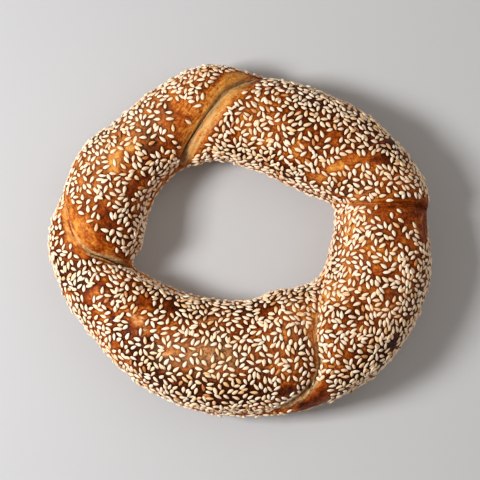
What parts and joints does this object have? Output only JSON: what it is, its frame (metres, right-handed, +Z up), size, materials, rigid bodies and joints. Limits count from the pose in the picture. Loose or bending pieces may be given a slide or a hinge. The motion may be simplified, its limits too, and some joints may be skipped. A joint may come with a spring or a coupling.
{
  "type": "simit",
  "caption": "Twisted ring of browned bread covered with sesame seeds, with an open hole in the middle and a flat baked base.",
  "frame": {"origin": "middle of the ring's footprint, on the surface that it rests on", "axes": "+Z up, out of the crown of the ring; +X along the ring's longer width"},
  "size_m": [0.147, 0.135, 0.0355],
  "materials": {
    "crust": "browned bread crust with a low gloss",
    "sesame": "pale baked sesame seeds"
  },
  "bodies": {
    "root": {"simit": "crust"}
  },
  "joints": []
}
